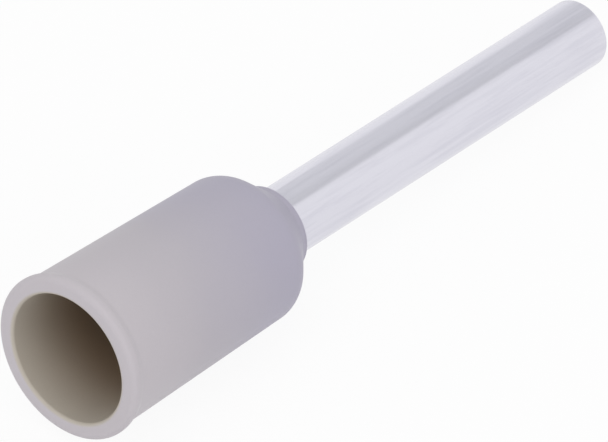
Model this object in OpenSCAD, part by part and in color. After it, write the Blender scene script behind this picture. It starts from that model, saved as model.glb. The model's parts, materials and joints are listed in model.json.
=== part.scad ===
// Insulated wire-end ferrule: a moulded plastic collar on a thin metal tube.
// The wire's insulation enters the collar's mouth and its bare strands fill the tube.
// The tube's inner end is flared like a trumpet and sits in the funnel inside the collar.
// Both pieces are turned about one axis: outlines are lists of [radius, height, rounding],
// with height counted from the mouth (0) to the tube's tip.
// The ferrule lies as it comes to rest, on the collar's shoulder and the tube's tip:
// mouth towards -X, tip towards +X, surface at z = 0.

/* [Tube] */
// Bore of the tube, which takes the stripped strands
tube_bore_d = 1.2; // [1:0.05:1.3]
// Wall thickness of the tube
tube_wall = 0.155; // [0.12:0.005:0.2]
// Length of bare tube beyond the collar
sleeve_len = 10; // [6:0.5:18]
// Rounding of the tip's outer edge
tip_rounding = 0.05; // [0.01:0.01:0.08]

/* [Flare] */
// Angle between the axis and the wall of the flare, the funnel and the shoulder's cone
flare_angle = 40; // [32:1:45]
// Gap between the flare's rim and the wall of the collar's bore
rim_gap = 0.06; // [0.05:0.01:0.2]
// Radius of the bend between the tube and its flare
flare_bend = 0.3; // [0.1:0.05:0.4]

/* [Collar] */
// Length of the collar
collar_len = 6.3; // [6:0.1:9]
// Bore of the collar, which takes the wire's insulation
bore_d = 2.8; // [2.5:0.05:2.9]
// Outer diameter of the body next to the lip
body_d = 3.42; // [3.38:0.01:3.46]
// Outer diameter of the body at its shoulder, where the draft ends
shoulder_d = 3.22; // [3.15:0.01:3.28]
// Rounding of the shoulder
shoulder_rounding = 0.45; // [0.1:0.05:0.8]
// Thickness of the wall between the shoulder's cone and the funnel
funnel_wall = 0.35; // [0.25:0.01:0.45]
// Thickness of the neck that grips the tube
neck_wall = 0.19; // [0.12:0.01:0.3]
// Length of the neck beyond the shoulder's cone
neck_len = 0.15; // [0.15:0.01:0.5]

/* [Lip] */
// Outer diameter of the bead round the mouth
lip_d = 3.56; // [3.5:0.01:3.62]
// Width of the bead before it falls to the body
lip_width = 0.2; // [0.2:0.01:0.4]
// Rounding of the mouth's outer edge
lip_rounding = 0.13; // [0.05:0.01:0.13]
// Rounding of the mouth's inner edge
mouth_rounding = 0.08; // [0.02:0.01:0.12]

/* [Hidden] */
$fn = 96;
ARC_STEP = 8;              // largest turn between two points of a rounding
lip_fall = 0.16;           // length over which the bead falls to the body
lip_crest = 0.2;           // rounding of the bead's back edge
lip_fillet = 0.3;          // fillet between the bead and the body
neck_fillet = 0.25;        // fillet between the shoulder's cone and the neck
neck_edge = 0.04;          // rounding of the neck's end
funnel_fillet = 0.15;      // fillet between the bore and the funnel
rim_edge = 0.04;           // rounding of the flare's rim
tip_inner_edge = 0.03;     // rounding of the tip's inner edge

tube_bore_r = tube_bore_d / 2;
tube_r = tube_bore_r + tube_wall;
bore_r = bore_d / 2;
lip_r = lip_d / 2;
shoulder_r = shoulder_d / 2;
neck_r = tube_r + neck_wall;
rim_r = bore_r - rim_gap;
overall_len = collar_len + sleeve_len;

// Outside, the neck ends the shoulder's cone. Inside, the funnel runs parallel to that cone.
neck_height = collar_len - neck_len;
shoulder_height = neck_height - (shoulder_r - neck_r) / tan(flare_angle);
bore_depth = shoulder_height + (shoulder_r - bore_r) / tan(flare_angle) - funnel_wall / sin(flare_angle);

// The seat: the funnel's cone meets the neck's bore at seat_height, and the flare lies on it.
seat_height = bore_depth + (bore_r - tube_r) / tan(flare_angle);
rim_height = seat_height - (rim_r - tube_r) / tan(flare_angle);
inner_bend_height = seat_height - tube_wall * tan(flare_angle / 2);

function flat(p) = [p[0], p[1]];
function unit(v) = v / norm(v);
function bearing(v) = atan2(v[1], v[0]);

// Half the angle between the two sides that meet at corner q.
function half_angle(p, q, s) = acos(unit(flat(p) - flat(q)) * unit(flat(s) - flat(q))) / 2;

// Centre of the arc that rounds corner q by its own rounding, q[2].
function arc_centre(p, q, s) =
    flat(q) + unit(unit(flat(p) - flat(q)) + unit(flat(s) - flat(q)))
        * q[2] / sin(half_angle(p, q, s));

// Points of the arc that rounds corner q, from the side of p to the side of s.
function arc_points(p, q, s) =
    let (
        c = arc_centre(p, q, s),
        reach = q[2] / tan(half_angle(p, q, s)),
        from = bearing(flat(q) + unit(flat(p) - flat(q)) * reach - c),
        to = bearing(flat(q) + unit(flat(s) - flat(q)) * reach - c),
        turn = (to - from + 540) % 360 - 180,
        steps = ceil(abs(turn) / ARC_STEP)
    )
    [for (i = [0:steps]) c + q[2] * [cos(from + turn * i / steps), sin(from + turn * i / steps)]];

// Closed outline with every corner rounded by its own rounding; 0 keeps a corner sharp.
function rounded(path) =
    let (n = len(path))
    [
        for (i = [0:n - 1])
            let (p = path[(i + n - 1) % n], q = path[i], s = path[(i + 1) % n])
            each q[2] > 0 ? arc_points(p, q, s) : [flat(q)]
    ];

// Corners of the collar's wall: out along the mouth, back along the outside, then the bore.
SHOULDER = 4;
collar_corners = [
    [bore_r, 0, mouth_rounding],
    [lip_r, 0, lip_rounding],
    [lip_r, lip_width, lip_crest],
    [body_d / 2, lip_width + lip_fall, lip_fillet],
    [shoulder_r, shoulder_height, shoulder_rounding],
    [neck_r, neck_height, neck_fillet],
    [neck_r, collar_len, neck_edge],
    [tube_r, collar_len, 0],
    [tube_r, seat_height, flare_bend],
    [bore_r, bore_depth, funnel_fillet]
];

// Corners of the tube's wall: up the inside to the flare's rim, then down the outside.
TIP = 5;
tube_corners = [
    [tube_bore_r, overall_len, tip_inner_edge],
    [tube_bore_r, inner_bend_height, flare_bend + tube_wall],
    [rim_r - tube_wall * cos(flare_angle), rim_height - tube_wall * sin(flare_angle), rim_edge],
    [rim_r, rim_height, rim_edge],
    [tube_r, seat_height, flare_bend],
    [tube_r, overall_len, tip_rounding]
];

// At rest a straight line along the underside touches the roundings of the shoulder and tip.
shoulder_arc = arc_centre(
    collar_corners[SHOULDER - 1], collar_corners[SHOULDER], collar_corners[SHOULDER + 1]
);
tip_arc = arc_centre(tube_corners[TIP - 1], tube_corners[TIP], tube_corners[0]);
contact_gap = tip_arc - shoulder_arc;
rest_tilt = bearing([contact_gap[1], -contact_gap[0]])
    + asin((shoulder_rounding - tip_rounding) / norm(contact_gap));
mouth_height = shoulder_arc * [cos(rest_tilt), sin(rest_tilt)] + shoulder_rounding;

// Reach of the lip towards -X and of the tip towards +X, from the centre of the mouth.
lip_reach = lip_rounding + (lip_r - lip_rounding) * sin(rest_tilt) - lip_rounding * cos(rest_tilt);
tip_reach = tip_rounding + tip_arc * [sin(rest_tilt), cos(rest_tilt)];
mouth_x = (lip_reach - tip_reach) / 2;

// Turns an outline into its solid and lays it down at rest.
module turned(corners) {
    translate([mouth_x, 0, mouth_height])
        rotate([0, 90 + rest_tilt, 0])
            rotate_extrude()
                polygon(rounded(corners));
}

module collar() {
    color([0.73, 0.72, 0.75])
        turned(collar_corners);
}

module tube() {
    color([0.83, 0.83, 0.87])
        turned(tube_corners);
}

collar();
tube();
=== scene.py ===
"""Insulated wire-end ferrule: a moulded plastic collar on a drawn metal tube, lying on a table."""

import json
import math

import bmesh
import bpy
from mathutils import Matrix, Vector


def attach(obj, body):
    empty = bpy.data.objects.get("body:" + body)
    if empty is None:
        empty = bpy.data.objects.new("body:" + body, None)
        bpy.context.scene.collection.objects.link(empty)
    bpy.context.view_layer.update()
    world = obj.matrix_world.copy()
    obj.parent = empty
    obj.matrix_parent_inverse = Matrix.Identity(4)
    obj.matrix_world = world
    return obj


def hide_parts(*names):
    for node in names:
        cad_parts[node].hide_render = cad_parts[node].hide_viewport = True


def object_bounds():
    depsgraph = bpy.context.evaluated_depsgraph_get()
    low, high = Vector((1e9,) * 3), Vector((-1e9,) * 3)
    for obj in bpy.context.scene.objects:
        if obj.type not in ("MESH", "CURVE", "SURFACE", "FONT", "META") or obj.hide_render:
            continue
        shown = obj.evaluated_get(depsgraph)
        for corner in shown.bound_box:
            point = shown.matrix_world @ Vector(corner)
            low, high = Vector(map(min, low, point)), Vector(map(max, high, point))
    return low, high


bl_info = {
    "name": "Wire-End Ferrule",
    "version": (1, 0, 0),
    "blender": (4, 5, 0),
    "location": "3D View > Sidebar > Ferrule",
    "description": "Models a wire-end ferrule piece by piece, with its finishes and a studio round it",
    "category": "Add Mesh",
}

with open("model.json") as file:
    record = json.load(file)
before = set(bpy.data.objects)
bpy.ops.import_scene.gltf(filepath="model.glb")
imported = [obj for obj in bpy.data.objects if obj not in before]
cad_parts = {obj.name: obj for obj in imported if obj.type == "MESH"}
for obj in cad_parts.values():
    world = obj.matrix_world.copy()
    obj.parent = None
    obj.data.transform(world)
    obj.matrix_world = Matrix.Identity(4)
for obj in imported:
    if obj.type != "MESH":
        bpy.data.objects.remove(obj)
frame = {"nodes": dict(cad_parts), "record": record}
CAD_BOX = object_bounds()

# ---------------------------------------------------------------- places and sizes of the frame

MM = 0.001
MOUNTS = {mount["name"]: mount for mount in frame["record"]["mounts"]}
TO_TIP = -Vector(MOUNTS["wire_entry"]["axis"]).normalized()
ON_AXIS = Vector(MOUNTS["wire_entry"]["pos_m"])
SIDE = Vector((0.0, 1.0, 0.0))
UP = TO_TIP.cross(SIDE)


def reach(node):
    """Nearest and furthest point of a CAD node along the ferrule's axis, from ON_AXIS."""
    steps = [(vertex.co - ON_AXIS).dot(TO_TIP) for vertex in frame["nodes"][node].data.vertices]
    return min(steps), max(steps)


def widest(node):
    """Largest distance of a CAD node's surface from the ferrule's axis."""
    return max((vertex.co - ON_AXIS).cross(TO_TIP).length for vertex in frame["nodes"][node].data.vertices)


def bore_of(mount):
    """Diameter of a round mount, in metres."""
    return 2 * MOUNTS[mount]["dims"]["r_mm"] * MM


MOUTH = ON_AXIS + TO_TIP * reach("collar")[0]
COLLAR_LENGTH = reach("collar")[1] - reach("collar")[0]
OVERALL_LENGTH = reach("tube")[1] - reach("collar")[0]

AROUND = 192  # sides of every ring
STRETCH = 0.3  # shortest step between two rings of a straight stretch, in millimetres
TURN = math.radians(5)  # largest turn between two rings of a rounding
TOUCH = 1e-3  # how close a vertex lies to the ring it belongs to, in millimetres
SLOPE = math.radians(40)  # angle of the shoulder's cone, the funnel and the flare to the axis
SMOOTH_UNDER = math.radians(35)  # faces that meet at less than this are shaded as one

# Roundings of the corners, in millimetres.
MOUTH_INNER = 0.08
MOUTH_OUTER = 0.13
LIP_CREST = 0.20
LIP_FILLET = 0.30
SHOULDER_ROUNDING = 0.45
NECK_FILLET = 0.25
NECK_EDGE = 0.04
FUNNEL_FILLET = 0.15
RIM_EDGE = 0.04
TIP_INNER = 0.03
TIP_OUTER = 0.05

# The stage, in metres.
TABLE_RADIUS = 2.0
TABLE_DROP = 0.00002  # gap that keeps the table clear of the ferrule's underside
TABLE_GLOW = 0.92  # share of white in the table as the camera and reflections see it
CARD_PLACE = (0.45, 0.239, 0.30)
CARD_SIZE = (1.3, 0.708, 1.0)
KEY_PLACE = (-0.45, -0.10, 0.65)
FILL_PLACE = (-0.25, -0.60, 0.40)
LAMP_WIDTH = 0.5
AIM = Vector((-0.0007906, 0.0000071, 0.0011029))  # the point that the camera looks at


# ---------------------------------------------------------------- settings


def length(name, description, default):
    """A setting that holds a length in metres."""
    return bpy.props.FloatProperty(
        name=name,
        description=description,
        default=default,
        min=0.0,
        precision=6,
        subtype="DISTANCE",
        unit="LENGTH",
    )


def share(name, description, default):
    """A setting from 0 to 1."""
    return bpy.props.FloatProperty(
        name=name, description=description, default=default, min=0.0, max=1.0, subtype="FACTOR"
    )


def colour(name, description, red, green, blue):
    """A colour setting, from screen values of 0 to 255."""
    linear = [((v / 255 + 0.055) / 1.055) ** 2.4 for v in (red, green, blue)]
    return bpy.props.FloatVectorProperty(
        name=name, description=description, default=(*linear, 1.0), size=4, min=0.0, max=1.0, subtype="COLOR"
    )


class CollarSettings(bpy.types.PropertyGroup):
    """Sizes and colours of the plastic collar."""

    length: length("Length", "From the mouth to the end of the neck", COLLAR_LENGTH)
    bore: length("Bore", "Diameter of the hole for the wire's insulation", bore_of("wire_entry"))
    grip: length("Grip", "Diameter of the neck's hole, which grips the tube", bore_of("sleeve"))
    lip: length("Lip", "Outer diameter of the bead round the mouth", 2 * widest("collar"))
    lip_width: length("Lip width", "Width of the bead before it falls to the body", 0.20 * MM)
    lip_fall: length("Lip fall", "Length over which the bead falls to the body", 0.16 * MM)
    body: length("Body", "Outer diameter of the body next to the lip", 3.42 * MM)
    shoulder: length("Shoulder", "Outer diameter where the body's draft ends", 3.22 * MM)
    neck: length("Neck", "Outer diameter of the neck", 1.89 * MM)
    neck_length: length("Neck length", "Length of the neck beyond the shoulder's cone", 0.15 * MM)
    funnel_wall: length("Funnel wall", "Wall between the shoulder's cone and the funnel", 0.35 * MM)
    outside: colour("Outside", "Plastic of the body, half way along", 186, 181, 188)
    # Painted shade: the plastic darkens and turns bluer towards the shoulder and neck.
    shoulder_painted_shade: colour("Shoulder tone", "Plastic towards the shoulder and neck", 175, 171, 187)
    # Painted highlight: the lip is lighter where the light falls on its rounded face.
    lip_painted_highlight: colour("Mouth tone", "Plastic of the lip", 196, 190, 195)
    inside_edge: colour("Inside edge", "Bore wall next to the mouth", 190, 182, 170)
    # Painted shade: the bore wall further in is darker and browner, where shade falls deeper in the hole.
    inside_painted_shade: colour("Inside deep", "Bore wall further in", 150, 130, 110)
    roughness: share("Roughness", "How matt the plastic is", 0.46)


class TubeSettings(bpy.types.PropertyGroup):
    """Sizes and colours of the metal tube."""

    end: length("End", "Distance of the tube's tip from the collar's mouth", OVERALL_LENGTH)
    outside: length("Outside", "Outer diameter of the tube", bore_of("sleeve"))
    bore: length("Bore", "Diameter of the hole for the strands", bore_of("conductor_bore"))
    rim: length("Flare rim", "Outer diameter of the flare's rim", 2 * widest("tube"))
    bend: length("Bend", "Radius of the bend between the tube and its flare", 0.30 * MM)
    metal: colour("Metal", "Tinned copper", 221, 220, 229)
    mark: colour("Drawing marks", "The darker lines left by drawing the tube", 214, 213, 223)
    roughness: share("Roughness", "How satin the metal is", 0.16)


class StageSettings(bpy.types.PropertyGroup):
    """Camera and light."""

    azimuth: bpy.props.FloatProperty(
        name="Azimuth",
        description="Bearing of the camera round the ferrule",
        default=math.radians(-50.164),
        subtype="ANGLE",
        unit="ROTATION",
    )
    elevation: bpy.props.FloatProperty(
        name="Elevation",
        description="Height of the camera above the table, as an angle",
        default=math.radians(37.788),
        subtype="ANGLE",
        unit="ROTATION",
    )
    distance: length("Distance", "From the camera to the point it looks at", 171.773 * MM)
    lens: bpy.props.FloatProperty(
        name="Lens", description="Focal length in millimetres", default=503.289, min=1.0
    )
    soft_light: share("Soft light", "Light that comes from all round", 0.70)
    key_light: bpy.props.FloatProperty(
        name="Key light",
        description="Power of the large lamp over the mouth's side",
        default=1.2,
        min=0.0,
        subtype="POWER",
        unit="POWER",
    )
    fill_light: bpy.props.FloatProperty(
        name="Fill light",
        description="Power of the lamp beside the camera",
        default=0.8,
        min=0.0,
        subtype="POWER",
        unit="POWER",
    )
    floor: colour("Floor", "Pale table", 244, 244, 245)


# ---------------------------------------------------------------- finishes


class Signal:
    """An output socket of a finish. Arithmetic on it adds Math nodes."""

    def __init__(self, finish, socket):
        self.finish = finish
        self.socket = socket

    def maths(self, operation, *terms):
        """The Math node of this operation on the terms, in their order."""
        settings = {"operation": operation}
        return self.finish.node("ShaderNodeMath", settings, dict(enumerate(terms)))

    def __add__(self, other):
        return self.maths("ADD", self, other)

    def __radd__(self, other):
        return self.maths("ADD", other, self)

    def __sub__(self, other):
        return self.maths("SUBTRACT", self, other)

    def __rsub__(self, other):
        return self.maths("SUBTRACT", other, self)

    def __mul__(self, other):
        return self.maths("MULTIPLY", self, other)

    def __rmul__(self, other):
        return self.maths("MULTIPLY", other, self)

    def __truediv__(self, other):
        return self.maths("DIVIDE", self, other)

    def __rtruediv__(self, other):
        return self.maths("DIVIDE", other, self)


class Finish:
    """The node tree of a material or of the world, filled through node()."""

    def __init__(self, owner):
        owner.use_nodes = True
        self.tree = owner.node_tree
        self.tree.nodes.clear()

    def node(self, kind, settings=None, inputs=None, output=0):
        """Adds a node: settings first, then its sockets' values or links. Returns one of its outputs."""
        made = self.tree.nodes.new(kind)
        for key, value in (settings or {}).items():
            setattr(made, key, value)
        for key, value in (inputs or {}).items():
            if isinstance(value, Signal):
                self.tree.links.new(value.socket, made.inputs[key])
            else:
                made.inputs[key].default_value = value
        return Signal(self, made.outputs[output]) if made.outputs else made

    def place(self):
        """Distance along the axis from the mouth, across and up from the axis, in millimetres."""
        point = self.node("ShaderNodeTexCoord", output="Object")
        from_mouth = self.vector("SUBTRACT", point, MOUTH)
        from_mouth = self.vector("SCALE", from_mouth, scale=1 / MM)
        return [self.dot(from_mouth, direction) for direction in (TO_TIP, SIDE, UP)]

    def vector(self, operation, first, second=(0, 0, 0), scale=1.0):
        """A Vector Math node that gives a vector."""
        inputs = {0: first, 1: second}
        if operation == "SCALE":
            inputs = {0: first, "Scale": scale}
        return self.node("ShaderNodeVectorMath", {"operation": operation}, inputs)

    def dot(self, first, second):
        """How far the first vector runs along the second."""
        settings = {"operation": "DOT_PRODUCT"}
        return self.node("ShaderNodeVectorMath", settings, {0: first, 1: second}, output="Value")

    def joined(self, x, y, z):
        """A vector from three values."""
        return self.node("ShaderNodeCombineXYZ", inputs={0: x, 1: y, 2: z})

    def noise(self, vector, scale, detail=2.0, roughness=0.5):
        """Smooth noise from 0 to 1."""
        inputs = {"Vector": vector, "Scale": scale, "Detail": detail, "Roughness": roughness}
        return self.node("ShaderNodeTexNoise", inputs=inputs)

    def step(self, value, start, end, low=0.0, high=1.0):
        """Eases from low to high while the value goes from start to end."""
        settings = {"interpolation_type": "SMOOTHSTEP"}
        inputs = {"Value": value, "From Min": start, "From Max": end, "To Min": low, "To Max": high}
        return self.node("ShaderNodeMapRange", settings, inputs)

    def blend(self, factor, first, second):
        """The first colour where the factor is 0, the second where it is 1."""
        settings = {"data_type": "RGBA"}
        return self.node("ShaderNodeMix", settings, {0: factor, 6: first, 7: second}, output=2)

    def bump(self, height, strength, distance):
        """A normal from a height, with the distance in metres."""
        inputs = {"Height": height, "Strength": strength, "Distance": distance}
        return self.node("ShaderNodeBump", inputs=inputs)

    def surface(self, shader, target="ShaderNodeOutputMaterial"):
        """Ends the tree with this shader."""
        self.node(target, inputs={"Surface": shader})


def moulded_plastic(look):
    """Matt grey plastic, with a painted highlight on the lip, painted shade that makes it darker and bluer
    towards the shoulder, and painted shade that turns the bore wall tan to brown with depth.
    """
    material = bpy.data.materials.new("moulded_plastic")
    finish = Finish(material)
    along, across, up = finish.place()
    radius = across * across + up * up
    radius = radius.maths("SQRT", radius)
    point = finish.joined(along, across, up)
    cloud = finish.noise(point, 0.55, detail=2.0)
    grain = finish.noise(point, 26.0, detail=3.0, roughness=0.6)
    pores = finish.noise(point, 70.0, detail=2.0)

    # Painted light and shade along the body: a painted highlight on the lip fades to the body's colour, then
    # painted shade darkens it towards the shoulder.
    past_lip_highlight = finish.step(along + cloud * 1.2, 0.4, 3.6)
    outer_painted_light_and_shade = finish.blend(past_lip_highlight, list(look.lip_painted_highlight), list(look.outside))
    outer_painted_light_and_shade = finish.blend(finish.step(along + cloud * 1.6, 2.6, 6.4), outer_painted_light_and_shade, list(look.shoulder_painted_shade))

    # Painted shade down the bore: the wall darkens from the edge colour to brown with depth, and the mask
    # keeps it to the bore wall.
    inner = finish.blend(finish.step(along, 0.0, 2.2), list(look.inside_edge), list(look.inside_painted_shade))
    beyond = finish.step(along, 5.2, 6.2, 0.0, 0.84)
    bore_shade_mask = 1 - finish.step(radius + beyond, 1.42, 1.49)
    base = finish.blend(bore_shade_mask, outer_painted_light_and_shade, inner)
    tint = 0.965 + grain * 0.07
    base = finish.node(
        "ShaderNodeMix",
        {"data_type": "RGBA", "blend_type": "MULTIPLY"},
        {0: 1.0, 6: base, 7: finish.joined(tint, tint, tint)},
        output=2,
    )
    rough = look.roughness - 0.05 + cloud * 0.05 + grain * 0.06
    relief = grain * 0.6 + pores * 0.4
    shader = finish.node(
        "ShaderNodeBsdfPrincipled",
        inputs={
            "Base Color": base,
            "Roughness": rough,
            "IOR": 1.49,
            "Normal": finish.bump(relief, 0.25, 0.004 * MM),
        },
    )
    finish.surface(shader)
    return material


def tinned_metal(look):
    """Satin tin with the fine lengthwise lines of a drawn tube."""
    material = bpy.data.materials.new("tinned_metal")
    finish = Finish(material)
    along, across, up = finish.place()
    lines = finish.noise(finish.joined(along * 0.05, across, up), 9.0, detail=3.0, roughness=0.6)
    fine = finish.noise(finish.joined(along * 0.12, across, up), 40.0, detail=2.0)
    cloud = finish.noise(finish.joined(along * 0.6, across, up), 0.9, detail=2.0)
    worn = finish.step(lines * 0.7 + cloud * 0.3, 0.42, 0.66)
    base = finish.blend(worn, list(look.metal), list(look.mark))
    rough = look.roughness + lines * 0.08 + cloud * 0.06
    shader = finish.node(
        "ShaderNodeBsdfPrincipled",
        inputs={
            "Base Color": base,
            "Metallic": 1.0,
            "Roughness": rough,
            "Normal": finish.bump(lines * 0.5 + fine * 0.5, 0.2, 0.002 * MM),
        },
    )
    finish.surface(shader)
    return material


# ---------------------------------------------------------------- modelling


def deselect():
    """Leaves object mode with nothing selected."""
    if bpy.context.object and bpy.context.object.mode != "OBJECT":
        bpy.ops.object.mode_set(mode="OBJECT")
    bpy.ops.object.select_all(action="DESELECT")


def carry_ring(start, end):
    """Extrudes the selected ring from one corner to the next, in even steps on a long stretch."""
    run = math.dist(start[:2], end[:2])
    steps = max(1, int(run / STRETCH))
    for step in range(steps):
        radius = start[0] + (end[0] - start[0]) * step / steps
        larger = start[0] + (end[0] - start[0]) * (step + 1) / steps
        height = start[1] + (end[1] - start[1]) * (step + 1) / steps
        rise = (end[1] - start[1]) / steps
        bpy.ops.mesh.extrude_edges_move(TRANSFORM_OT_translate={"value": (0, 0, rise)})
        grow = larger / radius
        bpy.ops.transform.resize(value=(grow, grow, 1), center_override=(0, 0, height))


def select_ring(mesh, corner):
    """Selects the edges that run round the axis at a corner."""
    shape = bmesh.from_edit_mesh(mesh)
    radius, height = corner[:2]
    for edge in shape.edges:
        edge.select_set(
            all(
                abs(math.hypot(v.co.x, v.co.y) - radius) < TOUCH and abs(v.co.z - height) < TOUCH
                for v in edge.verts
            )
        )
    bmesh.update_edit_mesh(mesh)


def turn_at(before, corner, after):
    """How far the outline turns at a corner, as an angle."""
    arriving = math.atan2(corner[1] - before[1], corner[0] - before[0])
    leaving = math.atan2(after[1] - corner[1], after[0] - corner[0])
    return abs((leaving - arriving + math.pi) % (2 * math.pi) - math.pi)


def turned(name, corners):
    """Models a turned piece from its corners, each a radius, a height and a rounding in millimetres."""
    deselect()
    bpy.ops.mesh.primitive_circle_add(
        vertices=AROUND, radius=corners[0][0], fill_type="NOTHING", location=(0, 0, corners[0][1])
    )
    piece = bpy.context.object
    piece.name = name
    bpy.ops.object.transform_apply(location=True)
    bpy.ops.object.mode_set(mode="EDIT")
    bpy.ops.mesh.select_mode(type="EDGE")
    bpy.ops.mesh.select_all(action="SELECT")
    for start, end in zip(corners, corners[1:] + corners[:1]):
        carry_ring(start, end)
    bpy.ops.mesh.select_all(action="SELECT")
    bpy.ops.mesh.remove_doubles(threshold=TOUCH)
    for before, corner, after in zip(corners[-1:] + corners[:-1], corners, corners[1:] + corners[:1]):
        if corner[2] == 0:
            continue
        turn = turn_at(before, corner, after)
        select_ring(piece.data, corner)
        bpy.ops.mesh.bevel(
            offset=corner[2] * math.tan(turn / 2),
            offset_type="OFFSET",
            segments=max(2, math.ceil(turn / TURN)),
            profile=0.5,
            affect="EDGES",
        )
    bpy.ops.mesh.select_all(action="SELECT")
    bpy.ops.mesh.normals_make_consistent(inside=False)
    bpy.ops.object.mode_set(mode="OBJECT")
    piece.scale = (MM, MM, MM)
    piece.rotation_mode = "QUATERNION"
    piece.rotation_quaternion = TO_TIP.to_track_quat("Z", "Y")
    piece.location = MOUTH
    bpy.ops.object.transform_apply(location=True, rotation=True, scale=True)
    bpy.ops.object.shade_smooth_by_angle(angle=SMOOTH_UNDER)
    return piece


def dress(piece, node, material):
    """Puts a finished piece in the CAD node's place."""
    piece.data.materials.clear()
    piece.data.materials.append(material)
    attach(piece, "root")
    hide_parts(node)


def funnel_mouth(sizes):
    """Height at which the bore meets the funnel, in millimetres."""
    neck_height = (sizes.length - sizes.neck_length) / MM
    rise = (sizes.neck - sizes.bore) / 2 / MM / math.tan(SLOPE)
    return neck_height + rise - sizes.funnel_wall / MM / math.sin(SLOPE)


class FERRULE_OT_add_collar(bpy.types.Operator):
    """Model the plastic collar with its lip, shoulder, neck, bore and funnel"""

    bl_idname = "ferrule.add_collar"
    bl_label = "Collar"

    def execute(self, context):
        sizes = context.scene.ferrule_collar
        length = sizes.length / MM
        bore = sizes.bore / 2 / MM
        grip = sizes.grip / 2 / MM
        lip = sizes.lip / 2 / MM
        shoulder = sizes.shoulder / 2 / MM
        neck = sizes.neck / 2 / MM
        lean = math.tan(SLOPE)
        neck_height = length - sizes.neck_length / MM
        shoulder_height = neck_height - (shoulder - neck) / lean
        depth = funnel_mouth(sizes)
        seat = depth + (bore - grip) / lean
        bend = context.scene.ferrule_tube.bend / MM
        corners = [
            (bore, 0.0, MOUTH_INNER),
            (lip, 0.0, MOUTH_OUTER),
            (lip, sizes.lip_width / MM, LIP_CREST),
            (sizes.body / 2 / MM, (sizes.lip_width + sizes.lip_fall) / MM, LIP_FILLET),
            (shoulder, shoulder_height, SHOULDER_ROUNDING),
            (neck, neck_height, NECK_FILLET),
            (neck, length, NECK_EDGE),
            (grip, length, 0.0),
            (grip, seat, bend),
            (bore, depth, FUNNEL_FILLET),
        ]
        collar = turned("plastic_collar", corners)
        dress(collar, "collar", moulded_plastic(sizes))
        return {"FINISHED"}


class FERRULE_OT_add_tube(bpy.types.Operator):
    """Model the metal tube with its flared inner end"""

    bl_idname = "ferrule.add_tube"
    bl_label = "Tube"

    def execute(self, context):
        sizes = context.scene.ferrule_tube
        collar = context.scene.ferrule_collar
        outside = sizes.outside / 2 / MM
        bore = sizes.bore / 2 / MM
        rim = sizes.rim / 2 / MM
        end = sizes.end / MM
        bend = sizes.bend / MM
        wall = outside - bore
        seat = funnel_mouth(collar) + (collar.bore / 2 / MM - outside) / math.tan(SLOPE)
        rim_height = seat - (rim - outside) / math.tan(SLOPE)
        corners = [
            (bore, end, TIP_INNER),
            (bore, seat - wall * math.tan(SLOPE / 2), bend + wall),
            (rim - wall * math.cos(SLOPE), rim_height - wall * math.sin(SLOPE), RIM_EDGE),
            (rim, rim_height, RIM_EDGE),
            (outside, seat, bend),
            (outside, end, TIP_OUTER),
        ]
        tube = turned("metal_tube", corners)
        dress(tube, "tube", tinned_metal(sizes))
        return {"FINISHED"}


# ---------------------------------------------------------------- stage


def lamp(name, place, target, width, power):
    """A square soft lamp that faces the target."""
    light = bpy.data.lights.new(name, "AREA")
    light.shape = "SQUARE"
    light.size = width
    light.energy = power
    made = bpy.data.objects.new(name, light)
    bpy.context.scene.collection.objects.link(made)
    made.location = place
    made.rotation_mode = "QUATERNION"
    made.rotation_quaternion = (Vector(target) - Vector(place)).to_track_quat("-Z", "Y")
    made.visible_glossy = False
    return made


def seen_as_background(finish):
    """1 for rays from the camera, a reflection or glass, and 0 for the rays that carry light."""
    ray = finish.tree.nodes.new("ShaderNodeLightPath")
    kinds = ("Is Camera Ray", "Is Glossy Ray", "Is Transmission Ray")
    rays = [Signal(finish, ray.outputs[kind]) for kind in kinds]
    total = rays[0] + rays[1] + rays[2]
    return total.maths("MINIMUM", total, 1.0)


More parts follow.
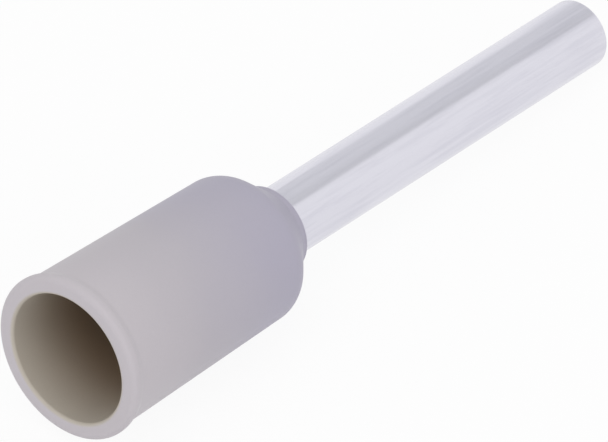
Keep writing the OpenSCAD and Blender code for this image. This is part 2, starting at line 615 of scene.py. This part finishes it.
class FERRULE_OT_add_stage(bpy.types.Operator):
    """Add the table, the white surroundings, the lamps and the camera"""

    bl_idname = "ferrule.add_stage"
    bl_label = "Stage"

    def execute(self, context):
        look = context.scene.ferrule_stage
        low, high = CAD_BOX
        middle = (low + high) / 2

        deselect()
        bpy.ops.mesh.primitive_circle_add(
            vertices=64, radius=TABLE_RADIUS, fill_type="NGON", location=(0, 0, -TABLE_DROP)
        )
        floor = context.object
        floor.name = "table_top"
        bpy.ops.object.transform_apply(location=True)
        material = bpy.data.materials.new("pale_table")
        finish = Finish(material)
        lit = finish.node("ShaderNodeBsdfDiffuse", inputs={"Color": list(look.floor)})
        glow = finish.node("ShaderNodeEmission", inputs={"Color": (1, 1, 1, 1), "Strength": 1.0})
        white = seen_as_background(finish) * TABLE_GLOW
        finish.surface(finish.node("ShaderNodeMixShader", inputs={0: white, 1: lit, 2: glow}))
        floor.data.materials.append(material)

        deselect()
        bpy.ops.mesh.primitive_plane_add(size=1.0, location=CARD_PLACE)
        card = context.object
        card.name = "rear_ceiling"
        card.scale = CARD_SIZE
        bpy.ops.object.transform_apply(location=True, scale=True)
        material = bpy.data.materials.new("grey_card")
        finish = Finish(material)
        point = finish.node("ShaderNodeTexCoord", output="Object")
        back = finish.dot(point, (0, 1, 0))
        tone = finish.step(back, -0.10, 0.09, 0.71, 0.82)
        grey = finish.node("ShaderNodeEmission", inputs={"Color": (0.985, 0.99, 1, 1), "Strength": tone})
        finish.surface(grey)
        card.data.materials.append(material)
        card.visible_camera = False
        card.visible_diffuse = False
        card.visible_shadow = False

        world = bpy.data.worlds.new("white_room")
        context.scene.world = world
        finish = Finish(world)
        seen = seen_as_background(finish)
        strength = look.soft_light + (1 - look.soft_light) * seen
        room = finish.node("ShaderNodeBackground", inputs={"Color": (1, 1, 1, 1), "Strength": strength})
        finish.surface(room, "ShaderNodeOutputWorld")

        lamp("key", KEY_PLACE, middle, LAMP_WIDTH, look.key_light)
        lamp("fill", FILL_PLACE, middle, LAMP_WIDTH, look.fill_light)

        toward = Vector(
            (
                math.sin(look.azimuth) * math.cos(look.elevation),
                -math.cos(look.azimuth) * math.cos(look.elevation),
                math.sin(look.elevation),
            )
        )
        camera = bpy.data.cameras.new("camera")
        camera.sensor_width = 36.0
        camera.lens = look.lens
        camera.clip_start = 0.001
        camera.clip_end = 10.0
        eye = bpy.data.objects.new("camera", camera)
        context.scene.collection.objects.link(eye)
        eye.location = AIM + toward * look.distance
        eye.rotation_mode = "QUATERNION"
        eye.rotation_quaternion = toward.to_track_quat("Z", "Y")
        context.scene.camera = eye
        context.scene.view_settings.view_transform = "Standard"
        return {"FINISHED"}


# ---------------------------------------------------------------- panel


class FERRULE_PT_sidebar(bpy.types.Panel):
    """Lists the ferrule's settings and pieces"""

    bl_idname = "FERRULE_PT_sidebar"
    bl_label = "Wire-End Ferrule"
    bl_space_type = "VIEW_3D"
    bl_region_type = "UI"
    bl_category = "Ferrule"

    def draw(self, context):
        for title, settings, operator in STEPS:
            box = self.layout.box()
            box.label(text=title)
            group = getattr(context.scene, settings)
            for name in group.__annotations__:
                box.prop(group, name)
            box.operator(operator)


STEPS = (
    ("Collar", "ferrule_collar", "ferrule.add_collar"),
    ("Tube", "ferrule_tube", "ferrule.add_tube"),
    ("Stage", "ferrule_stage", "ferrule.add_stage"),
)
SETTINGS = {
    "ferrule_collar": CollarSettings,
    "ferrule_tube": TubeSettings,
    "ferrule_stage": StageSettings,
}
CLASSES = (
    *SETTINGS.values(),
    FERRULE_OT_add_collar,
    FERRULE_OT_add_tube,
    FERRULE_OT_add_stage,
    FERRULE_PT_sidebar,
)


def register():
    """Registers the classes and hangs the settings on the scene."""
    for made in CLASSES:
        bpy.utils.register_class(made)
    for name, group in SETTINGS.items():
        setattr(bpy.types.Scene, name, bpy.props.PointerProperty(type=group))


def unregister():
    """Takes away what register() added."""
    for name in SETTINGS:
        delattr(bpy.types.Scene, name)
    for made in reversed(CLASSES):
        bpy.utils.unregister_class(made)


def main():
    """Models the ferrule and its stage."""
    register()
    bpy.ops.ferrule.add_collar()
    bpy.ops.ferrule.add_tube()
    bpy.ops.ferrule.add_stage()


if __name__ == "__main__":
    main()
